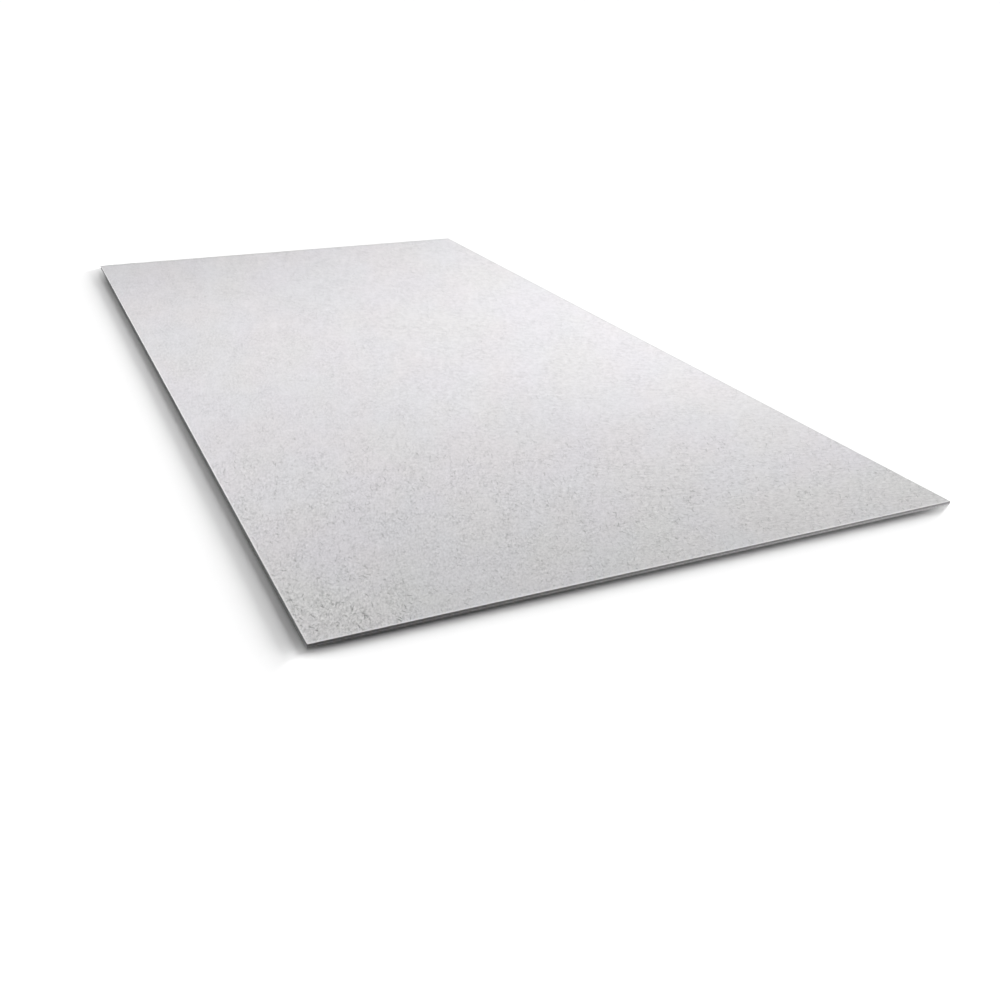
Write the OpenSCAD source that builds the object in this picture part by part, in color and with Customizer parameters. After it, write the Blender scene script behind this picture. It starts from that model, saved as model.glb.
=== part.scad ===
// Fiber cement floor board: one flat pressed sheet, trimmed square, with lightly eased edges.
// Millimetres. X runs across the sheet, Y along it and Z up.
// The origin is at the centre of the underside, so the sheet lies on the plane Z = 0.

/* [Sheet] */
// Width of the sheet, along X
board_width = 1200; // [300:50:1500]
// Length of the sheet, along Y
board_length = 2400; // [600:100:3600]
// Thickness of the sheet, along Z
board_thickness = 6; // [4:0.5:22]

/* [Edges] */
// Leg of the 45 degree arris where both faces meet the trimmed edges
arris = 0.4; // [0.2:0.1:0.8]
// Radius that handling leaves on the four upright corners
corner_radius = 1; // [1:0.5:10]

/* [Hidden] */
// Facets of a full turn at the corners
corner_facets = 64;
cement_grey = [0.86, 0.86, 0.87];

// Half of an edge's outline, from the middle of the sheet out to the trimmed edge at reach:
// the underside, its arris, the upright edge, the upper arris and the top face.
function eased_half(reach) = [
    [0, 0],
    [reach - arris, 0],
    [reach, arris],
    [reach, board_thickness - arris],
    [reach - arris, board_thickness],
    [0, board_thickness]
];

// Upright cross-section of the sheet, span wide, with all four arrises.
module eased_section(span) {
    for (side = [0, 1])
        mirror([side, 0])
            polygon(eased_half(span / 2));
}

// The part of the sheet that has its arrises along the two long edges.
module long_edge_run() {
    rotate([90, 0, 0])
        linear_extrude(height = board_length - 2 * corner_radius, center = true)
            eased_section(board_width);
}

// The part of the sheet that has its arrises along the two ends.
module end_edge_run() {
    rotate([90, 0, 90])
        linear_extrude(height = board_width - 2 * corner_radius, center = true)
            eased_section(board_length);
}

// One rounded corner, whose arrises carry on from the edges on either side.
module eased_corner() {
    rotate_extrude($fn = corner_facets)
        polygon(eased_half(corner_radius));
}

module board() {
    color(cement_grey)
    union() {
        long_edge_run();
        end_edge_run();
        for (x_side = [-1, 1], y_side = [-1, 1])
            translate([
                x_side * (board_width / 2 - corner_radius),
                y_side * (board_length / 2 - corner_radius),
                0
            ])
                eased_corner();
    }
}

board();
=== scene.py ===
"""Fiber cement floor board: the finished look of one flat pressed sheet, lying on a white studio floor.

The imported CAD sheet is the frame, and a finely modelled sheet of its size stands for it. That sheet has
sawn edges with their layers, worn and chipped arrises, and a face that is hardly ever quite flat. Lengths
are in metres, and the small ones are given in millimetres times MM.
"""

import math
import random
from collections import namedtuple

import bpy
from mathutils import Matrix, Vector, noise


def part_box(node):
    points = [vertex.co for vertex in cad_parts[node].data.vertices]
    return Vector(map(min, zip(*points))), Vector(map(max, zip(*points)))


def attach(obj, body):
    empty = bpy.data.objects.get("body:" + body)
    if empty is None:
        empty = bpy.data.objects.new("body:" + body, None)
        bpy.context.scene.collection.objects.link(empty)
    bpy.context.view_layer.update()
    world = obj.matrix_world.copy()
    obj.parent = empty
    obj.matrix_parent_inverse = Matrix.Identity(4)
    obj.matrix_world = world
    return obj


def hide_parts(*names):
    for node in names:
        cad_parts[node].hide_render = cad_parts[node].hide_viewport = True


MM = 0.001
SEED = 7

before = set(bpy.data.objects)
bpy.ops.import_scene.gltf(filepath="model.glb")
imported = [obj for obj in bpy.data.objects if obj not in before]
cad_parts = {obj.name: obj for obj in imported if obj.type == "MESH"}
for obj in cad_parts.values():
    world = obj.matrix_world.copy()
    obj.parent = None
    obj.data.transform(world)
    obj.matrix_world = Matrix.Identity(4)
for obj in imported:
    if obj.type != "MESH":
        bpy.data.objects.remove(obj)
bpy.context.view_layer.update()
low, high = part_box("board")
size = high - low
centre = (low + high) / 2
half_width = size.x / 2
half_length = size.y / 2
thickness = size.z

# The sheet's three materials, by their number.
FACE, EDGE, BACK = 0, 1, 2


# ---------------------------------------------------------------- shape

# Outline and section of the sheet, as the CAD has them, and how finely they are divided.
SIDES = 4
ARRIS = 0.4 * MM
CORNER_RADIUS = 1.0 * MM
CORNER_STEPS = 4
EDGE_PITCH = 2.5 * MM
EDGE_ROWS = 5

# The rings round the edge begin and end this far in, on the back and on the face. The middle of an arris
# lies this share of the arris in from the outline, which rounds it: on a flat arris it would be a half.
RIM = 0.9 * MM
ARRIS_ROUND = 0.3

# Face and back: an open grid inside a margin, which a band of triangles ties to the edge.
MARGIN = 5.0 * MM
FACE_PITCH = 8.5 * MM
BACK_PITCH = 17.0 * MM

# How far the face and the back lie below flat: press marks on a slow wave, each cut from its own slice of
# the noise. Both calm down near the sides, where the press marks keep a share and the wave keeps none.
PRESS_DEPTH = 0.10 * MM
PRESS_CELL = 14.0 * MM
PRESS_SLICE = 1.5
PRESS_AT_SIDES = 0.4
WAVE_DEPTH = 0.08 * MM
WAVE_CELL = 180.0 * MM
WAVE_SLICE = 9.5
CALM_WIDTH = 40.0 * MM

# Cut edge: how far its layers and saw marks reach in from the outline, how thick a layer is, and how far
# apart in the noise two neighbouring layers are taken.
LAYER_DEPTH = 0.07 * MM
LAYER_CELL = 22.0 * MM
LAYER_THICKNESS = 1.2 * MM
LAYER_APART = 3.7
SAW_DEPTH = 0.06 * MM
SAW_CELL = 4.0 * MM

# Chips of the arrises: how many, half of their length and how deep. Luck makes each one shorter, shallower
# and rougher, down to these shares. The four corners are worn away by a depth of their own.
CHIPS_PER_METRE = 5
CHIP_HALF = (1.5 * MM, 6.0 * MM)
CHIP_DEPTH = (0.05 * MM, 0.40 * MM)
CHIP_SHORTEST = 0.4
CHIP_SHALLOWEST = 0.2
CHIP_ROUGHEST = 0.75
CORNER_CHIP = 0.35 * MM

# How much of a chip's depth each ring takes, inwards and towards the middle of the thickness: from the rim
# of the face or back, over the start and the middle of the arris, to the top or foot of the cut face.
RIM_CUT = (0.2, 0.0)
ARRIS_START_CUT = (0.8, 0.0)
ARRIS_MIDDLE_CUT = (1.0, 0.3)
ARRIS_END_CUT = (0.4, 0.9)
NO_CUT = (0.0, 0.0)

# The surface laid out flat, for patterns to be baked on: where each chart starts and how wide it is.
# Every chart is as long as the map. The edge has four, one for each side.
FACE_CHART = (0.003, 0.660)
BACK_CHART = (0.680, 0.220)
EDGE_CHART = (0.912, 0.017)
EDGE_CHART_STEP = 0.022
CHART_MARGIN = 0.003

# A point of the outline: its place, the way it faces, how far round the sheet it lies, and on which side.
EdgePoint = namedtuple("EdgePoint", "x y out_x out_y run side")


def smooth_step(value):
    """The usual soft ramp from 0 to 1."""
    value = min(max(value, 0.0), 1.0)
    return value * value * (3 - 2 * value)


def noise_share(x, y, z):
    """Noise at a place, from 0 to 1 about a half."""
    return 0.5 + 0.5 * noise.noise(Vector((x, y, z)))


def corner_points(pivot, start, run, side):
    """Points round one corner, through a quarter turn from the angle start, and the run at their end."""
    points = []
    for step in range(CORNER_STEPS):
        angle = start + step / CORNER_STEPS * math.pi / 2
        out_x = math.cos(angle)
        out_y = math.sin(angle)
        x = pivot[0] + CORNER_RADIUS * out_x
        y = pivot[1] + CORNER_RADIUS * out_y
        points.append(EdgePoint(x, y, out_x, out_y, run, side))
        run += CORNER_RADIUS * math.pi / 2 / CORNER_STEPS
    return points, run


def side_points(pivot, facing, run, side):
    """Points along the straight side that follows a corner, and the run at their end."""
    points = []
    out_x = round(math.cos(facing))
    out_y = round(math.sin(facing))
    straight = (size.y if out_x else size.x) - 2 * CORNER_RADIUS
    steps = round(straight / EDGE_PITCH)
    for step in range(steps):
        travel = straight * step / steps
        x = pivot[0] + CORNER_RADIUS * out_x - out_y * travel
        y = pivot[1] + CORNER_RADIUS * out_y + out_x * travel
        points.append(EdgePoint(x, y, out_x, out_y, run, side))
        run += straight / steps
    return points, run


def outline():
    """Points round the sheet, anticlockwise from the near left corner, and the length of the whole run."""
    corners = ((low.x, low.y), (high.x, low.y), (high.x, high.y), (low.x, high.y))
    points = []
    run = 0.0
    for side, corner in enumerate(corners):
        start = (side + 2) % SIDES * math.pi / 2
        pivot_x = corner[0] + math.copysign(CORNER_RADIUS, centre.x - corner[0])
        pivot_y = corner[1] + math.copysign(CORNER_RADIUS, centre.y - corner[1])
        rounded, run = corner_points((pivot_x, pivot_y), start, run, side)
        straight, run = side_points((pivot_x, pivot_y), start + math.pi / 2, run, side)
        points += rounded + straight
    return points, run


def on_corner(point):
    """Whether a point of the outline faces slantwise, as only those on the rounded corners do."""
    return not math.isclose(max(abs(point.out_x), abs(point.out_y)), 1.0)


def chip_bites(points, total, seed):
    """How deep the arris is bitten away at each point round the sheet."""
    rng = random.Random(seed)
    bites = [0.0] * len(points)
    for _ in range(round(total * CHIPS_PER_METRE)):
        middle = rng.uniform(0, total)
        half = rng.uniform(*CHIP_HALF) * rng.uniform(CHIP_SHORTEST, 1)
        depth = rng.uniform(*CHIP_DEPTH) * rng.uniform(CHIP_SHALLOWEST, 1)
        for i, point in enumerate(points):
            away = abs(point.run - middle) / half
            if away < 1:
                rough = rng.uniform(CHIP_ROUGHEST, 1)
                bites[i] = max(bites[i], depth * (1 - away * away) * rough)
    for i, point in enumerate(points):
        if on_corner(point):
            bites[i] = max(bites[i], CORNER_CHIP)
    return bites


def sawn(point, height):
    """How far the cut face lies inside the outline: lengthwise layers with saw marks across them."""
    level = round(height / LAYER_THICKNESS)
    layer = noise_share(point.x / LAYER_CELL, point.y / LAYER_CELL, LAYER_APART * level)
    saw = noise_share(point.x / SAW_CELL, point.y / SAW_CELL, height / SAW_CELL)
    return LAYER_DEPTH * layer + SAW_DEPTH * saw


def edge_ring(points, inset, height, bites, cut, is_sawn=False):
    """One closed ring round the sheet, this far in from the outline and this high above the underside."""
    cut_in, cut_level = cut
    ring = []
    for point, bite in zip(points, bites):
        reach = inset + bite * cut_in
        if is_sawn:
            reach += sawn(point, height)
        if height > thickness / 2:
            z = high.z - (thickness - height) - bite * cut_level
        else:
            z = low.z + height + bite * cut_level
        ring.append((point.x - point.out_x * reach, point.y - point.out_y * reach, z))
    return ring


def edge_rings(points, total):
    """Closed rings from the rim of the back, round the cut edge, to the rim of the face."""
    over = chip_bites(points, total, SEED)
    under = chip_bites(points, total, SEED + 1)
    rounded = ARRIS_ROUND * ARRIS
    cut_height = thickness - 2 * ARRIS
    rings = [
        edge_ring(points, RIM, 0.0, under, RIM_CUT),
        edge_ring(points, ARRIS, 0.0, under, ARRIS_START_CUT),
        edge_ring(points, rounded, rounded, under, ARRIS_MIDDLE_CUT),
        edge_ring(points, 0.0, ARRIS, under, ARRIS_END_CUT, is_sawn=True),
    ]
    for row in range(1, EDGE_ROWS):
        height = ARRIS + cut_height * row / EDGE_ROWS
        rings.append(edge_ring(points, 0.0, height, under, NO_CUT, is_sawn=True))
    rings += [
        edge_ring(points, 0.0, thickness - ARRIS, over, ARRIS_END_CUT, is_sawn=True),
        edge_ring(points, rounded, thickness - rounded, over, ARRIS_MIDDLE_CUT),
        edge_ring(points, ARRIS, thickness, over, ARRIS_START_CUT),
        edge_ring(points, RIM, thickness, over, RIM_CUT),
    ]
    return rings


def pressed(x, y):
    """How far the face lies below flat: a faint hammered press mark on a slow wave."""
    inside = min(half_width - abs(x - centre.x), half_length - abs(y - centre.y))
    calm = smooth_step(inside / CALM_WIDTH)
    press = PRESS_DEPTH * noise_share(x / PRESS_CELL, y / PRESS_CELL, PRESS_SLICE)
    wave = WAVE_DEPTH * noise_share(x / WAVE_CELL, y / WAVE_CELL, WAVE_SLICE)
    return press * (PRESS_AT_SIDES + (1 - PRESS_AT_SIDES) * calm) + wave * calm


def open_grid(pitch, z, sign):
    """A grid over the face or the back: its points, the loop round it, anticlockwise, and its cells."""
    span_x = size.x - 2 * MARGIN
    span_y = size.y - 2 * MARGIN
    across = round(span_x / pitch)
    along = round(span_y / pitch)
    points = []
    for row in range(along + 1):
        y = low.y + MARGIN + span_y * row / along
        for column in range(across + 1):
            x = low.x + MARGIN + span_x * column / across
            points.append((x, y, z - sign * pressed(x, y)))
    loop = list(range(across))
    loop += [row * (across + 1) + across for row in range(along)]
    loop += [along * (across + 1) + column for column in range(across, 0, -1)]
    loop += [row * (across + 1) for row in range(along, 0, -1)]
    cells = []
    for row in range(along):
        for column in range(across):
            corner = row * (across + 1) + column
            cells.append((corner, corner + 1, corner + across + 2, corner + across + 1))
    return points, loop, cells


def turn_of(point):
    """Where a point lies round the sheet, from 0 to 4, one for each side, in step for any two loops."""
    x = (point[0] - centre.x) / half_width
    y = (point[1] - centre.y) / half_length
    if abs(y) >= abs(x):
        return (1 + x) / 2 if y < 0 else 2 + (1 - x) / 2
    return 1 + (1 + y) / 2 if x > 0 else 3 + (1 - y) / 2


def unrolled(loop, places):
    """A closed loop from its lowest turn right round to the same point again, and the turn of each point."""
    turns = [turn_of(places[i]) for i in loop]
    start = turns.index(min(turns))
    loop = loop[start:] + loop[:start + 1]
    turns = turns[start:] + turns[:start] + [SIDES + turns[start]]
    return loop, turns


def zip_loops(outer, inner, places):
    """Triangles between two closed loops, taking the step that lags behind each time."""
    outer, outer_turn = unrolled(outer, places)
    inner, inner_turn = unrolled(inner, places)
    outer_end = len(outer) - 1
    inner_end = len(inner) - 1
    triangles = []
    i = 0
    j = 0
    while i < outer_end or j < inner_end:
        if i < outer_end and (j == inner_end or outer_turn[i + 1] <= inner_turn[j + 1]):
            triangles.append((outer[i], outer[i + 1], inner[j]))
            i += 1
        else:
            triangles.append((outer[i], inner[j + 1], inner[j]))
            j += 1
    return triangles


def flat_length(along):
    """A share of the length on the flat layout, inside its margin."""
    return CHART_MARGIN + (1 - 2 * CHART_MARGIN) * along


def plan_spots(face, kind, places):
    """Where the corners of a face of the front or the back lie on the flat layout, the back turned over."""
    start, wide = FACE_CHART if kind == FACE else BACK_CHART
    spots = []
    for i in face:
        across = (places[i][0] - low.x) / size.x
        along = (places[i][1] - low.y) / size.y
        if kind == BACK:
            across = 1 - across
        spots.append((start + wide * across, flat_length(along)))
    return spots


def edge_lengths(points, total):
    """Where each edge section between two points starts and ends on the flat layout, with its side."""
    runs = [point.run for point in points] + [total]
    starts = [min(point.run for point in points if point.side == side) for side in range(SIDES)] + [total]
    lengths = []
    for i, point in enumerate(points):
        start = starts[point.side]
        span = starts[point.side + 1] - start
        first = flat_length((runs[i] - start) / span)
        last = flat_length((runs[i + 1] - start) / span)
        lengths.append((first, last, point.side))
    return lengths


def edge_spots(section, level, levels):
    """Where the corners of a face of the cut edge lie on the flat layout, whose left is up."""
    first, last, side = section
    start, wide = EDGE_CHART
    lower = start + side * EDGE_CHART_STEP + wide * (1 - (level - 1) / levels)
    upper = lower - wide / levels
    return [(lower, first), (lower, last), (upper, last), (upper, first)]


def edge_faces(points, total, levels, places):
    """The faces between the rings, each with its material number and its spots on the flat layout."""
    sections = edge_lengths(points, total)
    count = len(points)
    made = []
    for level in range(levels):
        kind = BACK if level == 0 else FACE if level == levels - 1 else EDGE
        below = level * count
        above = below + count
        for i in range(count):
            j = (i + 1) % count
            face = (below + i, below + j, above + j, above + i)
            if kind == EDGE:
                spots = edge_spots(sections[i], level, levels - 2)
            else:
                spots = plan_spots(face, kind, places)
            made.append((face, kind, spots))
    return made


def broad_faces(kind, rim, places):
    """The faces of the front or the back inside the rim, in the same form. Adds their points to places."""
    pitch, z, sign = (FACE_PITCH, high.z, 1) if kind == FACE else (BACK_PITCH, low.z, -1)
    grid, loop, cells = open_grid(pitch, z, sign)
    first = len(places)
    places += grid
    faces = [tuple(first + i for i in cell) for cell in cells]
    faces += zip_loops(rim, [first + i for i in loop], places)
    made = []
    for face in faces:
        face = face if kind == FACE else face[::-1]
        made.append((face, kind, plan_spots(face, kind, places)))
    return made


def sheet_mesh():
    """The whole sheet as one closed mesh, with a material number and a flat layout for each face."""
    points, total = outline()
    rings = edge_rings(points, total)
    count = len(points)
    places = [place for ring in rings for place in ring]
    last_ring = len(places) - count
    made = edge_faces(points, total, len(rings) - 1, places)
    made += broad_faces(FACE, list(range(last_ring, last_ring + count)), places)
    made += broad_faces(BACK, list(range(count)), places)
    faces = [face for face, _, _ in made]
    kinds = [kind for _, kind, _ in made]
    spots = [spot for _, _, corners in made for spot in corners]
    mesh = bpy.data.meshes.new("board_sheet")
    mesh.from_pydata(places, [], faces)
    layout = mesh.uv_layers.new(name="OFBake")
    layout.uv.foreach_set("vector", [number for spot in spots for number in spot])
    mesh.polygons.foreach_set("material_index", kinds)
    mesh.polygons.foreach_set("use_smooth", [True] * len(faces))
    mesh.update()
    return mesh


# ---------------------------------------------------------------- finish

# Finish colours, linear. The cement is greyer by the near short side, and comes to its own colour over
# this stretch of the sheet's length.
CEMENT = (0.753, 0.739, 0.756)
NEAR_CEMENT = (0.756, 0.750, 0.757)
NEAR_REACH = (100.0 * MM, 260.0 * MM)
EDGE_CEMENT = (0.60, 0.59, 0.594)
SPECULAR = 0.3
FACE_ROUGHNESS = (0.82, 0.94)
EDGE_ROUGHNESS = (0.88, 0.97)
BACK_ROUGHNESS = (0.86, 0.95)

# Faint casts that drift over all the cement: lilac to green and blue to cream, in patches of these sizes.
LILAC = (1.003, 0.996, 1.002)
GREEN = (0.996, 1.002, 0.999)
BLUE = (0.995, 1.0, 1.008)
CREAM = (1.003, 1.0, 0.990)
LILAC_CELL = 90.0 * MM
BLUE_CELL = 110.0 * MM

# Noise seldom leaves the middle of its range, so the one or the other of these parts is taken for it all.
CORE = (0.35, 0.65)
WIDE_CORE = (0.3, 0.7)

# Steps aside, taken at random, so that fields drawn from one noise differ from one another.
ASIDE = {
    "mottle": (0.7, 4.1, 0.0),
    "torn": (2.3, 0.9, 0.0),
    "scratch": (0.4, 0.8, 0.0),
    "nick": (1.7, 5.9, 0.0),
    "pale_fibre": (6.1, 3.3, 0.0),
    "fibre_gaps": (3.1, 7.7, 0.0),
    "blue_cast": (5.0, 1.0, 0.0),
}

# Fibres lie mostly along the sheet, so its grain is drawn out that way: this much at the near end and
# at the far one. It is also coarser at the far end and at the right, by these factors, and its fibres fan
# out to the right, from a line that lies this far to the left of the sheet.
STRETCH = (1.7, 3.4)
COARSER_FAR = 1.9
COARSER_RIGHT = 1.15
FAN_LEFT = 0.6

# Patterns of the face: how large their blobs are and by what share they swing it lighter and darker. The
# grain is also narrower across the sheet, by a factor.
PATCH_CELL = 100.0 * MM
PATCH_SWING = 0.05
CLUMP_CELL = 34.0 * MM
CLUMP_SWING = 0.12
MOTTLE_CELL = 12.5 * MM
MOTTLE_SWING = 0.19
GRAIN_CELL = 3.9 * MM
GRAIN_SWING = 0.74
GRAIN_NARROW = 1.15

# Away from the near left corner the fine grain turns into streaks, which lie nearly across the sheet: how
# far they are turned, how much longer than the grain they are, how much thinner at the near end and how
# fast that eases off, and where they set in, along a slanting line.
STREAK_TURN = math.radians(12)
STREAK_LONG = 2.0
STREAK_THIN = 1.3
STREAK_EASE = 0.45
STREAK_SLANT = (1.0, 0.15, 0.0)
STREAK_REACH = (0.25, 0.95)

# Torn marks lie where their field falls from the first of these values to the second.
TORN_CELL = 8.0 * MM
TORN_RANGE = (0.47, 0.32)

# Scratches and nicks: their spacing, length and width, the share of places that have one, and the angles
# that they are turned between. They are bent by noise of a share of their spacing, by some widths, and are
# full inside a share of their outline.
SCRATCHES = (15.0 * MM, 13.5 * MM, 2.0 * MM, 0.65)
NICKS = (11.0 * MM, 9.0 * MM, 2.0 * MM, 0.6)
STROKE_TURN = (math.radians(15), math.radians(110))
STROKE_BEND_CELL = 0.4
STROKE_BEND = 3
STROKE_CORE = 0.3

# Fibres: their spacing, their width in the measure of their field, and the level of a second field above
# which they show. The blobs of that one are a share as large, and the fibres fade in over a step of it.
FIBRES = (13.0 * MM, 0.018, 0.5)
PALE_FIBRES = (15.0 * MM, 0.016, 0.5)
FIBRE_GAP_CELL = 0.8
FIBRE_FADE = 0.06

# Pits: their spacing, the radius of the largest one, as a share of the spacing, and the share of places
# that have none. Noise pushes them out of round: its blobs and its push are shares of the spacing. They
# fade over a share of the largest radius.
PITS = (16.0 * MM, 0.2, 0.5)
PIT_PUSH_CELL = 0.3
PIT_PUSH = 0.35
PIT_FADE = 0.6

# By what share each kind of mark darkens the face, or lightens it where below 0.
DARKER = {"torn": 0.12, "scratch": 0.33, "fibre": 0.20, "pale_fibre": -0.10, "pit": 0.20}

# How far each pattern and mark rises from the face, or sinks into it where below 0, in BUMP_HEIGHTs.
BUMP_HEIGHT = 1.0 * MM
RISE = {
    "grain": 0.30,
    "mottle": 0.50,
    "torn": -0.22,
    "scratch": -0.20,
    "pit": -0.35,
    "fibre": -0.14,
    "pale_fibre": 0.14,
}

# How strong grain and marks are where the clumps are darkest, and where they are palest.
CLUMPED = (1.35, 0.7)

# How strong grain, mottle and marks are. Each ramp has where it starts and ends, in metres from the near
# left corner or along a slanting line from there, and the strength at its start and at its end.
COARSE_SLANT = (0.35, 1.0, 0.0)
CORNER_RAMP = (0.05, 0.22, 1.7, 1.0)
GRAIN_NEAR_RAMP = (0.42, 0.85, 0.93, 0.53)
GRAIN_FAR_RAMP = (1.0, 2.4, 1.0, 0.65)
MOTTLE_RAMP = (0.4, 1.6, 1.0, 0.72)
MARK_CORNER_RAMP = (0.08, 0.28, 1.5, 0.75)
MARK_RAMP = (0.5, 1.1, 1.0, 0.3)

# Pale strips inside the two near sides, partly wear and partly a painted highlight along the arris, and
# darker strips inside the two far sides, which are painted shade: how far in each one starts and is full.
# The painted shade along the far short side is wider and fainter, by this share. The pale strips are also
# smoother, by a share.
WEAR_HIGHLIGHT_LONG = (4.5 * MM, 1.2 * MM)
WEAR_HIGHLIGHT_SHORT = (7.0 * MM, 2.0 * MM)
WEAR_HIGHLIGHT_LIGHTER = 0.21
WEAR_HIGHLIGHT_SMOOTHER = 0.7
SHADE_RIM_LONG = (6.0 * MM, 2.0 * MM)
SHADE_RIM_SHORT = (30.0 * MM, 12.0 * MM)
SHADE_RIM_SHORT_SHARE = 0.6
SHADE_RIM_DARKER = 0.10

# Cut edge: layers, which are this many times longer than thick, grain and torn pits. It is darker higher up,
# and darker at its very foot with painted shade, from the first to the second of these heights, as shares of
# the thickness.
EDGE_LAYER_CELL = 12.0 * MM
EDGE_LAYER_THIN = 9.0
EDGE_LAYER_SWING = 0.7
EDGE_LAYER_RISE = 0.3
EDGE_GRAIN_CELL = 3.0 * MM
EDGE_GRAIN_SWING = 1.0
EDGE_GRAIN_RISE = 0.2
EDGE_PITS = (6.0 * MM, 0.35, 0.5)
EDGE_PIT_LIGHTER = 0.25
EDGE_UPPER = (0.28, 0.52)
EDGE_UPPER_DARKER = 0.48
EDGE_FOOT_SHADE = (0.14, 0.02)
EDGE_FOOT_SHADE_DARKER = 0.40

# Back: patterns as on the face but even, and the print of the felt. The wave texture has a little over
# three ridges to a cell, so they lie about 3 mm apart.
BACK_PATCH_CELL = 120.0 * MM
BACK_PATCH_SWING = 0.06
BACK_MOTTLE_CELL = 14.0 * MM
BACK_MOTTLE_SWING = 0.14
BACK_GRAIN_CELL = 3.0 * MM
BACK_GRAIN_SWING = 0.3
BACK_GRAIN_RISE = 0.15
BACK_SHADE = 0.94
FELT_CELL = 10.053 * MM
FELT_WOBBLE = 1.5
FELT_LIGHTER = 0.04
FELT_RISE = 0.12


def add(tree, kind, values=None, **settings):
    """A node with these settings and these socket values. A value may be another node's output."""
    made = tree.nodes.new(kind)
    for name, value in settings.items():
        setattr(made, name, value)
    for name, value in (values or {}).items():
        if isinstance(value, bpy.types.NodeSocket):
            tree.links.new(value, made.inputs[name])
        else:
            made.inputs[name].default_value = value
    return made


def math_of(tree, operation, first, second=0.0, third=0.0):
    """One step of arithmetic on numbers."""
    return add(tree, "ShaderNodeMath", {0: first, 1: second, 2: third}, operation=operation).outputs[0]


def vector_of(tree, operation, first, second):
    """One step of arithmetic on vectors or colours, part by part."""
    return add(tree, "ShaderNodeVectorMath", {0: first, 1: second}, operation=operation).outputs[0]


def length_of(tree, vector):
    """How long a vector is."""
    return add(tree, "ShaderNodeVectorMath", {0: vector}, operation="LENGTH").outputs["Value"]


def parts_of(tree, vector):
    """The X, Y and Z of a vector."""
    return add(tree, "ShaderNodeSeparateXYZ", {0: vector}).outputs


def turned(tree, vector, angle):
    """A vector turned about Z."""
    values = {"Vector": vector, "Angle": angle}
    return add(tree, "ShaderNodeVectorRotate", values, rotation_type="Z_AXIS").outputs[0]


def run_along(tree, vector, slant):
    """How far a place lies along a slanting line."""
    return add(tree, "ShaderNodeVectorMath", {0: vector, 1: slant}, operation="DOT_PRODUCT").outputs["Value"]


def product(tree, *values):
    """All the values multiplied together."""
    result = values[0]
    for value in values[1:]:
        result = math_of(tree, "MULTIPLY", result, value)
    return result


def spread(tree, value, start, end, to_start=0.0, to_end=1.0):
    """value taken smoothly from the range start..end to the range to_start..to_end."""
    values = {"Value": value, "From Min": start, "From Max": end, "To Min": to_start, "To Max": to_end}
    return add(tree, "ShaderNodeMapRange", values, interpolation_type="SMOOTHSTEP").outputs["Result"]


def swing(tree, value, share):
    """A factor about 1 that follows a field: 1 + share * (field - 0.5)."""
    return math_of(tree, "MULTIPLY_ADD", math_of(tree, "SUBTRACT", value, 0.5), share, 1.0)


def lowered(tree, mask, share):
    """A factor that falls by share where the mask is 1, or rises where share is below 0."""
    return math_of(tree, "MULTIPLY_ADD", mask, -share, 1.0)


def between(tree, share, first, second):
    """The colour that lies this share of the way from the first to the second."""
    values = {"Factor": share, 6: (*first, 1), 7: (*second, 1)}
    return add(tree, "ShaderNodeMix", values, data_type="RGBA").outputs[2]


def face_place(tree):
    """The place on the sheet, in the CAD frame."""
    return add(tree, "ShaderNodeTexCoord").outputs["Object"]


def field(tree, where, cell, detail=2.0, roughness=0.5, distortion=0.0):
    """Soft noise, from 0 to 1 about a half, whose blobs are about one cell across."""
    values = {"Vector": where, "Scale": 1 / cell, "Detail": detail, "Roughness": roughness}
    values["Distortion"] = distortion
    return add(tree, "ShaderNodeTexNoise", values).outputs["Fac"]


def aside(tree, where, name):
    """The same place, moved by the named step aside."""
    return vector_of(tree, "ADD", where, ASIDE[name])


def wandered(tree, where, cell, reach):
    """The same place, pushed about by noise, so that round marks come out uneven."""
    values = {"Vector": where, "Scale": 1 / cell, "Detail": 1.0}
    push = add(tree, "ShaderNodeTexNoise", values).outputs["Color"]
    push = vector_of(tree, "SUBTRACT", push, (0.5, 0.5, 0.5))
    values = {0: push, 1: (reach, reach, reach), 2: where}
    return add(tree, "ShaderNodeVectorMath", values, operation="MULTIPLY_ADD").outputs[0]


def drawn_out(tree, where):
    """The same place on a sheet that is shrunk towards the far end, so that patterns come out stretched."""
    near, far = STRETCH
    growth = (COARSER_FAR * far / near - 1) / size.y
    x, y, _ = parts_of(tree, vector_of(tree, "ADD", where, (-low.x, -low.y, 0.0)))
    coarser = math_of(tree, "MULTIPLY_ADD", x, (COARSER_RIGHT - 1) / size.x, 1.0)
    coarser = math_of(tree, "MULTIPLY_ADD", y, (COARSER_FAR - 1) / size.y, coarser)
    across = math_of(tree, "DIVIDE", math_of(tree, "ADD", x, FAN_LEFT), coarser)
    along = math_of(tree, "MULTIPLY_ADD", y, growth, 1.0)
    along = math_of(tree, "DIVIDE", math_of(tree, "LOGARITHM", along, math.e), near * growth)
    return add(tree, "ShaderNodeCombineXYZ", {"X": across, "Y": along}).outputs[0]


def threads(tree, where, cell, width, level):
    """Short crooked fibres: the middle line of a noise field, kept where another field is above a level."""
    line = field(tree, where, cell, detail=1.0, distortion=0.6)
    off_line = math_of(tree, "ABSOLUTE", math_of(tree, "SUBTRACT", line, 0.5))
    drawn = spread(tree, off_line, width, 0.0)
    kept = field(tree, aside(tree, where, "fibre_gaps"), cell * FIBRE_GAP_CELL, detail=1.0)
    return product(tree, drawn, spread(tree, kept, level, level + FIBRE_FADE))


def scattered(tree, around, cell, **settings):
    """Cells strewn about a plane or a space, and the luck of each, as three numbers from 0 to 1."""
    values = {"Vector": around, "Scale": 1 / cell, "Randomness": 1.0}
    cells = add(tree, "ShaderNodeTexVoronoi", values, feature="F1", **settings).outputs
    luck = add(tree, "ShaderNodeSeparateColor", {0: cells["Color"]}).outputs
    return cells, luck


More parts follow.
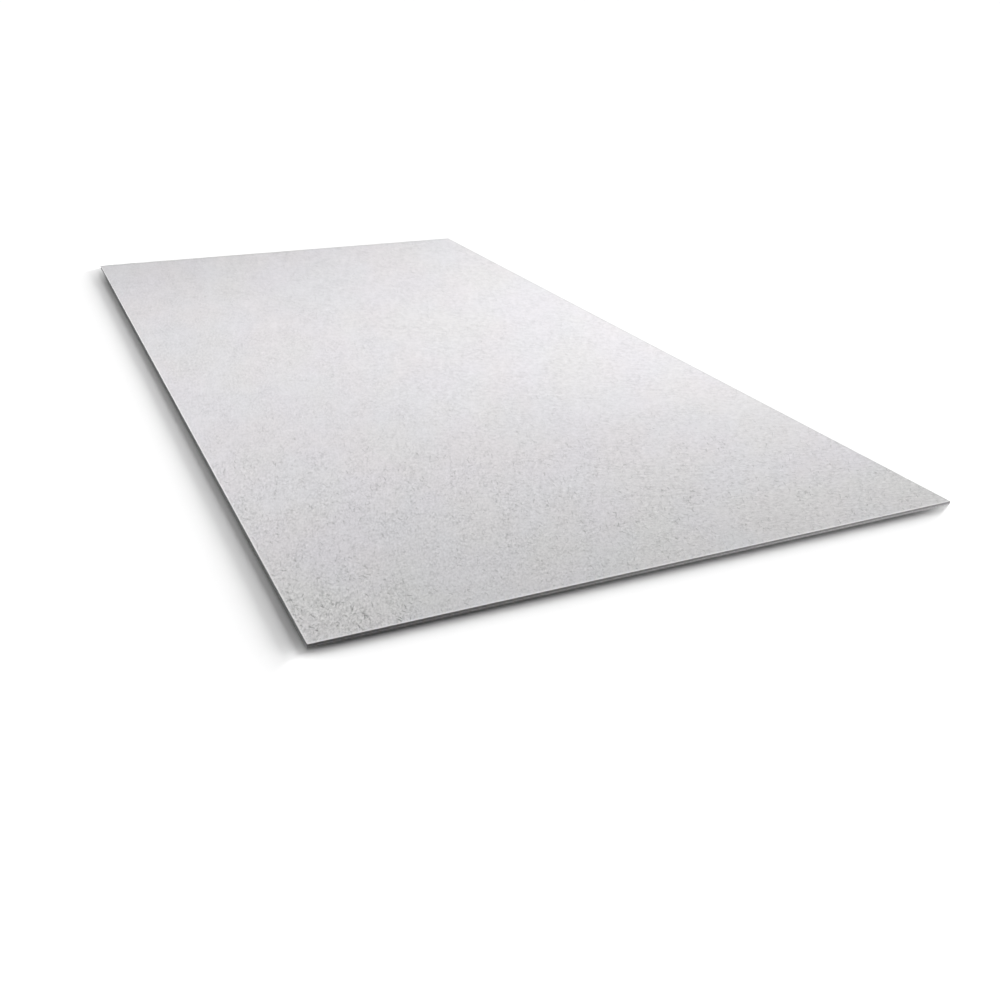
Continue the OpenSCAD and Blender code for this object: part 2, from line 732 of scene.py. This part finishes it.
def pits(tree, where, cell, radius, missing):
    """Scattered small hollows, each of its own size, and none in the missing share of the cells."""
    around = wandered(tree, where, cell * PIT_PUSH_CELL, cell * PIT_PUSH)
    cells, luck = scattered(tree, around, cell)
    reach = spread(tree, luck[0], missing, 1.0, 0.0, radius)
    inside = math_of(tree, "SUBTRACT", reach, cells["Distance"])
    return spread(tree, inside, 0.0, radius * PIT_FADE)


def strokes(tree, where, cell, long, wide, share):
    """Short crooked scratches, one for some of the cells, each turned and faded by its own luck."""
    around = wandered(tree, where, cell * STROKE_BEND_CELL, wide * STROKE_BEND)
    cells, luck = scattered(tree, around, cell, voronoi_dimensions="2D")
    off_middle = vector_of(tree, "SUBTRACT", around, cells["Position"])
    least, most = STROKE_TURN
    off_middle = turned(tree, off_middle, math_of(tree, "MULTIPLY_ADD", luck[0], most - least, least))
    off_middle = vector_of(tree, "MULTIPLY", off_middle, (2 / long, 2 / wide, 0.0))
    drawn = spread(tree, length_of(tree, off_middle), 1.0, STROKE_CORE)
    return product(tree, drawn, spread(tree, luck[1], 1.0 - share, 1.0))


def streaky(tree, where, along, grain):
    """The grain, giving way to streaks. Where they mix, the squares of their shares add to 1, so that the
    whole stays as strong."""
    run = run_along(tree, vector_of(tree, "ADD", where, tuple(-low)), STREAK_SLANT)
    share = spread(tree, run, *STREAK_REACH)
    x, y, _ = parts_of(tree, along)
    thinner = math_of(tree, "MULTIPLY_ADD", y, -STREAK_EASE, STREAK_THIN)
    thinner = math_of(tree, "MULTIPLY", y, thinner)
    streak = add(tree, "ShaderNodeCombineXYZ", {"X": x, "Y": thinner}).outputs[0]
    streak = vector_of(tree, "MULTIPLY", turned(tree, streak, STREAK_TURN), (1 / STREAK_LONG, 1.0, 1.0))
    streak = field(tree, streak, GRAIN_CELL, detail=2.0, roughness=0.7)
    of_grain = math_of(tree, "SQRT", math_of(tree, "SUBTRACT", 1.0, share))
    of_streak = math_of(tree, "SQRT", share)
    mixed = product(tree, math_of(tree, "SUBTRACT", grain, 0.5), of_grain)
    mixed = math_of(tree, "MULTIPLY_ADD", math_of(tree, "SUBTRACT", streak, 0.5), of_streak, mixed)
    return math_of(tree, "ADD", mixed, 0.5)


def rim_highlight_and_shade(tree, where):
    """1 along the two near sides of the face, partly wear and partly painted highlight, and 1 along the two
    far sides, painted shade, each fading inwards.
    """
    from_left, from_near, _ = parts_of(tree, vector_of(tree, "ADD", where, tuple(-low)))
    past_right, past_far, _ = parts_of(tree, vector_of(tree, "ADD", where, tuple(-high)))
    left = spread(tree, from_left, *WEAR_HIGHLIGHT_LONG)
    near = spread(tree, from_near, *WEAR_HIGHLIGHT_SHORT)
    right = spread(tree, past_right, -SHADE_RIM_LONG[0], -SHADE_RIM_LONG[1])
    far = spread(tree, past_far, -SHADE_RIM_SHORT[0], -SHADE_RIM_SHORT[1], 0.0, SHADE_RIM_SHORT_SHARE)
    return math_of(tree, "MAXIMUM", left, near), math_of(tree, "MAXIMUM", right, far)


def coarseness(tree, where):
    """How strong grain, mottle and dark marks are: most at the near left corner, less along the sheet."""
    from_corner = vector_of(tree, "ADD", where, (-low.x, -low.y, -high.z))
    away = length_of(tree, from_corner)
    run = run_along(tree, from_corner, COARSE_SLANT)
    corner = spread(tree, away, *CORNER_RAMP)
    grain = product(tree, corner, spread(tree, run, *GRAIN_NEAR_RAMP), spread(tree, run, *GRAIN_FAR_RAMP))
    mottle = product(tree, corner, spread(tree, run, *MOTTLE_RAMP))
    marks = product(tree, spread(tree, away, *MARK_CORNER_RAMP), spread(tree, run, *MARK_RAMP))
    return grain, mottle, marks


def near_to_far(tree, where):
    """The cement's own colour, which is greyer by the near short side."""
    along = parts_of(tree, where)["Y"]
    start, end = NEAR_REACH
    return between(tree, spread(tree, along, low.y + start, low.y + end), NEAR_CEMENT, CEMENT)


def tinted(tree, where, colour, value):
    """The colour scaled by value, drifting a little between lilac and green, and between blue and cream."""
    drift = spread(tree, field(tree, where, LILAC_CELL, detail=1.0), *CORE)
    drawn = vector_of(tree, "MULTIPLY", between(tree, drift, LILAC, GREEN), colour)
    warmth = spread(tree, field(tree, aside(tree, where, "blue_cast"), BLUE_CELL), *CORE)
    drawn = vector_of(tree, "MULTIPLY", drawn, between(tree, warmth, BLUE, CREAM))
    return add(tree, "ShaderNodeVectorMath", {0: drawn, "Scale": value}, operation="SCALE").outputs[0]


def start_material(name):
    """A new material with its tree and its shader, as matt as cement."""
    material = bpy.data.materials.new(name)
    material.use_nodes = True
    tree = material.node_tree
    shader = tree.nodes["Principled BSDF"]
    shader.inputs["Specular IOR Level"].default_value = SPECULAR
    return material, tree, shader


def finish_shader(tree, shader, colour, roughness, rises):
    """Gives a shader its colour, its roughness and its bumps, which are pairs of a pattern and its rise."""
    tree.links.new(colour, shader.inputs["Base Color"])
    tree.links.new(roughness, shader.inputs["Roughness"])
    height = 0.0
    for pattern, rise in rises:
        height = math_of(tree, "MULTIPLY_ADD", pattern, rise, height)
    bump = add(tree, "ShaderNodeBump", {"Height": height, "Distance": BUMP_HEIGHT, "Strength": 1.0})
    tree.links.new(bump.outputs["Normal"], shader.inputs["Normal"])


def face_patterns(tree, where, along):
    """The even patterns of the face, from broad to fine."""
    patches = field(tree, along, PATCH_CELL)
    clumps = field(tree, along, CLUMP_CELL, roughness=0.6)
    mottle = field(tree, aside(tree, along, "mottle"), MOTTLE_CELL, roughness=0.7)
    narrowed = vector_of(tree, "MULTIPLY", along, (GRAIN_NARROW, 1.0, 1.0))
    grain = field(tree, narrowed, GRAIN_CELL, roughness=0.7)
    return patches, clumps, mottle, streaky(tree, where, along, grain)


def face_marks(tree, where, along):
    """Every kind of mark of the face by its name, each 1 where it is full and 0 where there is none."""
    torn = field(tree, aside(tree, along, "torn"), TORN_CELL, detail=3.0, roughness=0.6, distortion=0.8)
    scratch = strokes(tree, aside(tree, along, "scratch"), *SCRATCHES)
    nick = strokes(tree, aside(tree, along, "nick"), *NICKS)
    return {
        "torn": spread(tree, torn, *TORN_RANGE),
        "scratch": math_of(tree, "MAXIMUM", scratch, nick),
        "fibre": threads(tree, along, *FIBRES),
        "pale_fibre": threads(tree, aside(tree, along, "pale_fibre"), *PALE_FIBRES),
        "pit": pits(tree, where, *PITS),
    }


def face_material():
    """The pressed face: sandy cement, torn dark marks in loose clumps, scratches, fibres and small pits."""
    material, tree, shader = start_material("cement_face")
    where = face_place(tree)
    along = drawn_out(tree, where)
    grain_share, mottle_share, mark_share = coarseness(tree, where)
    wear_and_highlight, far_shade = rim_highlight_and_shade(tree, where)
    patches, clumps, mottle, grain = face_patterns(tree, where, along)
    calm = lowered(tree, wear_and_highlight, WEAR_HIGHLIGHT_SMOOTHER)
    clumped = product(tree, calm, spread(tree, clumps, *CORE, *CLUMPED))
    busy = product(tree, mark_share, clumped)
    marked = product(tree, mark_share, calm)
    pale = product(tree, grain_share, calm)
    strength = {"torn": busy, "scratch": busy, "fibre": marked, "pale_fibre": pale, "pit": marked}
    marks = face_marks(tree, where, along)
    marks = {name: product(tree, mark, strength[name]) for name, mark in marks.items()}
    value = product(
        tree,
        swing(tree, patches, PATCH_SWING),
        swing(tree, clumps, CLUMP_SWING),
        swing(tree, mottle, product(tree, mottle_share, calm, MOTTLE_SWING)),
        swing(tree, grain, product(tree, grain_share, clumped, GRAIN_SWING)),
        *(lowered(tree, mark, DARKER[name]) for name, mark in marks.items()),
        # The near sides lighter, partly wear and partly painted highlight; the far sides darker, painted
        # shade.
        lowered(tree, wear_and_highlight, -WEAR_HIGHLIGHT_LIGHTER),
        lowered(tree, far_shade, SHADE_RIM_DARKER),
    )
    colour = tinted(tree, along, near_to_far(tree, where), value)
    roughness = spread(tree, mottle, *WIDE_CORE, *FACE_ROUGHNESS)
    patterns = {"grain": grain, "mottle": mottle, **marks}
    finish_shader(tree, shader, colour, roughness, [(patterns[name], rise) for name, rise in RISE.items()])
    return material


def edge_material():
    """The sawn edge: grainy, in thin layers that run lengthwise, darker higher up, and darker at its foot
    with painted shade.
    """
    material, tree, shader = start_material("cement_edge")
    where = face_place(tree)
    height = parts_of(tree, where)["Z"]
    upper = spread(tree, height, *(low.z + share * thickness for share in EDGE_UPPER))
    foot_shade = spread(tree, height, *(low.z + share * thickness for share in EDGE_FOOT_SHADE))
    layers = vector_of(tree, "MULTIPLY", where, (1.0, 1.0, EDGE_LAYER_THIN))
    layers = field(tree, layers, EDGE_LAYER_CELL, detail=3.0, roughness=0.6)
    grain = field(tree, where, EDGE_GRAIN_CELL, roughness=0.7)
    value = product(
        tree,
        swing(tree, layers, EDGE_LAYER_SWING),
        swing(tree, grain, EDGE_GRAIN_SWING),
        lowered(tree, upper, EDGE_UPPER_DARKER),
        # Painted shade at the foot of the edge.
        lowered(tree, foot_shade, EDGE_FOOT_SHADE_DARKER),
        lowered(tree, pits(tree, where, *EDGE_PITS), -EDGE_PIT_LIGHTER),
    )
    colour = tinted(tree, where, EDGE_CEMENT, value)
    roughness = spread(tree, grain, *WIDE_CORE, *EDGE_ROUGHNESS)
    finish_shader(tree, shader, colour, roughness, [(grain, EDGE_GRAIN_RISE), (layers, EDGE_LAYER_RISE)])
    return material


def back_material():
    """The back: a little darker, with the even print of the felt that the wet sheet was carried on."""
    material, tree, shader = start_material("cement_back")
    where = face_place(tree)
    patches = field(tree, where, BACK_PATCH_CELL, detail=3.0)
    mottle = field(tree, where, BACK_MOTTLE_CELL, detail=3.0, roughness=0.6)
    grain = field(tree, where, BACK_GRAIN_CELL)
    weave = {"Vector": where, "Scale": 1 / FELT_CELL, "Distortion": FELT_WOBBLE}
    warp = add(tree, "ShaderNodeTexWave", weave, bands_direction="X").outputs["Fac"]
    weft = add(tree, "ShaderNodeTexWave", weave, bands_direction="Y").outputs["Fac"]
    felt = product(tree, warp, weft)
    value = product(
        tree,
        swing(tree, patches, BACK_PATCH_SWING),
        swing(tree, mottle, BACK_MOTTLE_SWING),
        swing(tree, grain, BACK_GRAIN_SWING),
    )
    value = math_of(tree, "MULTIPLY_ADD", felt, FELT_LIGHTER, math_of(tree, "MULTIPLY", value, BACK_SHADE))
    colour = tinted(tree, where, CEMENT, value)
    roughness = spread(tree, mottle, *WIDE_CORE, *BACK_ROUGHNESS)
    finish_shader(tree, shader, colour, roughness, [(grain, BACK_GRAIN_RISE), (felt, FELT_RISE)])
    return material


def make_board():
    """The finished sheet, which stands for the CAD node and hangs from the root body."""
    mesh = sheet_mesh()
    for material in (face_material(), edge_material(), back_material()):
        mesh.materials.append(material)
    board = bpy.data.objects.new("board_sheet", mesh)
    bpy.context.scene.collection.objects.link(board)
    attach(board, "root")
    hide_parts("board")
    return board


# ---------------------------------------------------------------- studio

# Camera: it stands off the near left corner of the face and looks along the sheet.
CAMERA_FROM_CORNER = Vector((-0.308, -1.2705, 0.8363))
CAMERA_HEADING = math.radians(25.32)
CAMERA_TILT = math.radians(25.39)
CAMERA_ROLL = math.radians(1.115)
CAMERA_LENS = 39.16

# Floor and world. Both are white to the eye. The floor gives back a smaller share of the light that falls
# on it, and the world lights everything only a little.
FLOOR_RADIUS = 220.0
FLOOR_SIDES = 96
FLOOR_GAP = 0.2 * MM
FLOOR_WHITE = 0.97
FLOOR_BOUNCE = 0.5
AMBIENT = 0.03

# Soft suns, for the floor alone: heading from +Y towards +X, elevation, apparent size, share of white.
# How far off a sun stands makes no difference to its light.
SUN_AWAY = 5.0
FLOOR_SUNS = {
    "low_sun": (61, 4.7, 9.5, 0.428),
    "middle_sun": (52, 10.4, 20, 0.392),
    "high_sun": (30, 29, 48, 0.235),
}

# Softboxes, for the board alone: place, the point that they face, width, height, beam angle and watts.
SOFTBOXES = {
    "key": ((high.x + 2.66, high.y + 0.68, 1.37), (0.0, 0.0, low.z), 1.6, 1.0, 180, 115),
    "overhead": ((high.x + 0.22, -0.32, 1.63), (high.x + 0.22, -0.32, low.z), 1.2, 1.2, 180, 12.6),
    "left": ((low.x - 0.4, 0.44, 2.9), (low.x, 0.8, low.z), 0.5, 0.4, 180, 42.5),
    "near_left": ((low.x - 1.1, low.y + 0.3, 1.2), (low.x, low.y + 0.7, low.z), 0.5, 0.4, 180, 7),
    "front_strip": ((0.46, low.y - 3.0, 0.05), (0.46, low.y, low.z), 0.3, 0.1, 45.2, 3.0),
    "left_strip": ((low.x - 3.6, 0.7, 0.05), (low.x, 0.7, low.z), 0.3, 0.1, 35, 0.42),
}

# Bare lamps, for the floor alone: a broad one on either hand, and low ones where the shadow thins out
# towards a corner. Each entry is a row of them: the first one's place, the step from one to the next, and
# for each the share of white that it gives straight under it. A lamp's radius is a share of its height.
FILL_RADIUS = 0.25
FLOOR_FILLS = {
    "left_fill": ((low.x - 1.3, low.y + 0.8, 0.9), (0.0, 0.0, 0.0), (0.16,)),
    "right_fill": ((high.x + 0.2, low.y - 0.6, 0.6), (0.0, 0.0, 0.0), (0.09,)),
    "near_left_fill": ((low.x - 0.021, low.y - 0.018, 0.023), (0.0, 0.0, 0.0), (0.45,)),
    "near_right_fill": ((high.x - 0.002, low.y - 0.002, 0.020), (-0.025, 0.0, 0.0), (0.67, 0.26, 0.10)),
    "far_left_fill": ((low.x - 0.002, high.y, 0.037), (0.0, -0.050, 0.0), (0.71, 0.36, 0.18, 0.09)),
}


def aim_camera():
    """Puts the camera where it sees the whole sheet from its near left corner."""
    data = bpy.data.cameras.new("camera")
    data.lens = CAMERA_LENS
    camera = bpy.data.objects.new("camera", data)
    bpy.context.scene.collection.objects.link(camera)
    corner = Vector((low.x, low.y, high.z))
    turn = Matrix.Rotation(-CAMERA_HEADING, 4, "Z")
    tip = Matrix.Rotation(math.pi / 2 - CAMERA_TILT, 4, "X")
    roll = Matrix.Rotation(CAMERA_ROLL, 4, "Z")
    camera.matrix_world = Matrix.Translation(corner + CAMERA_FROM_CORNER) @ turn @ tip @ roll
    bpy.context.scene.camera = camera


def seen_or_not(tree, seen, unseen):
    """One value for rays that show a surface, straight, in gloss or through glass, and one for the rest."""
    path = tree.nodes.new("ShaderNodeLightPath").outputs
    either = math_of(tree, "MAXIMUM", path["Is Camera Ray"], path["Is Glossy Ray"])
    either = math_of(tree, "MAXIMUM", either, path["Is Transmission Ray"])
    values = {"Value": either, "To Min": unseen, "To Max": seen}
    return add(tree, "ShaderNodeMapRange", values).outputs["Result"]


def floor_material():
    """White to the eye, and paler grey in the light that it gives back."""
    material = bpy.data.materials.new("floor_white")
    material.use_nodes = True
    tree = material.node_tree
    tree.nodes.clear()
    out = tree.nodes.new("ShaderNodeOutputMaterial")
    diffuse = add(tree, "ShaderNodeBsdfDiffuse", {"Color": seen_or_not(tree, FLOOR_WHITE, FLOOR_BOUNCE)})
    tree.links.new(diffuse.outputs[0], out.inputs["Surface"])
    return material


def make_floor():
    """A wide round floor just under the sheet."""
    level = low.z - FLOOR_GAP
    places = [(0.0, 0.0, level)]
    for i in range(FLOOR_SIDES):
        angle = 2 * math.pi * i / FLOOR_SIDES
        places.append((FLOOR_RADIUS * math.cos(angle), FLOOR_RADIUS * math.sin(angle), level))
    faces = [(0, i + 1, (i + 1) % FLOOR_SIDES + 1) for i in range(FLOOR_SIDES)]
    mesh = bpy.data.meshes.new("floor")
    mesh.from_pydata(places, [], faces)
    mesh.materials.append(floor_material())
    floor = bpy.data.objects.new("floor", mesh)
    bpy.context.scene.collection.objects.link(floor)
    return floor


def make_world():
    """White to the eye and in gloss, and a low even light on everything else."""
    world = bpy.data.worlds.new("studio")
    bpy.context.scene.world = world
    world.use_nodes = True
    tree = world.node_tree
    tree.nodes.clear()
    out = tree.nodes.new("ShaderNodeOutputWorld")
    values = {"Color": (1, 1, 1, 1), "Strength": seen_or_not(tree, 1.0, AMBIENT)}
    background = add(tree, "ShaderNodeBackground", values)
    tree.links.new(background.outputs[0], out.inputs["Surface"])
    world.cycles.sampling_method = "NONE"


def add_lamp(name, kind, place, towards, receiver):
    """A lamp that faces a point, isn't seen itself and lights just one object."""
    data = bpy.data.lights.new(name, kind)
    lamp = bpy.data.objects.new(name, data)
    lamp.location = place
    lamp.rotation_mode = "QUATERNION"
    lamp.rotation_quaternion = (Vector(towards) - Vector(place)).to_track_quat("-Z", "Y")
    lamp.visible_camera = False
    bpy.context.scene.collection.objects.link(lamp)
    group = bpy.data.collections.new("lit_by_" + name)
    group.objects.link(receiver)
    lamp.light_linking.receiver_collection = group
    return lamp


def add_floor_suns(floor):
    """The soft suns that cast the board's shadow."""
    for name, (heading, elevation, width, level) in FLOOR_SUNS.items():
        turn = math.radians(heading)
        rise = math.radians(elevation)
        away = Vector((math.sin(turn) * math.cos(rise), math.cos(turn) * math.cos(rise), math.sin(rise)))
        lamp = add_lamp(name, "SUN", away * SUN_AWAY, (0, 0, 0), floor)
        lamp.data.angle = math.radians(width)
        lamp.data.energy = level * math.pi / math.sin(rise)


def add_softboxes(board):
    """The lamps that light the board."""
    for name, (place, towards, width, height, beam, watts) in SOFTBOXES.items():
        lamp = add_lamp(name, "AREA", place, towards, board)
        lamp.data.shape = "RECTANGLE"
        lamp.data.size = width
        lamp.data.size_y = height
        lamp.data.spread = math.radians(beam)
        lamp.data.energy = watts


def add_floor_fills(floor):
    """The rows of bare lamps that thin the shadow out."""
    for row, (first, step, levels) in FLOOR_FILLS.items():
        for i, level in enumerate(levels):
            name = row if i == 0 else f"{row}_{i + 1}"
            place = Vector(first) + i * Vector(step)
            lamp = add_lamp(name, "POINT", place, (place.x, place.y, low.z), floor)
            lamp.data.shadow_soft_size = place.z * FILL_RADIUS
            lamp.data.energy = level * (2 * math.pi * place.z) ** 2


aim_camera()
board = make_board()
floor = make_floor()
make_world()
add_floor_suns(floor)
add_softboxes(board)
add_floor_fills(floor)
bpy.context.scene.view_settings.view_transform = "Standard"
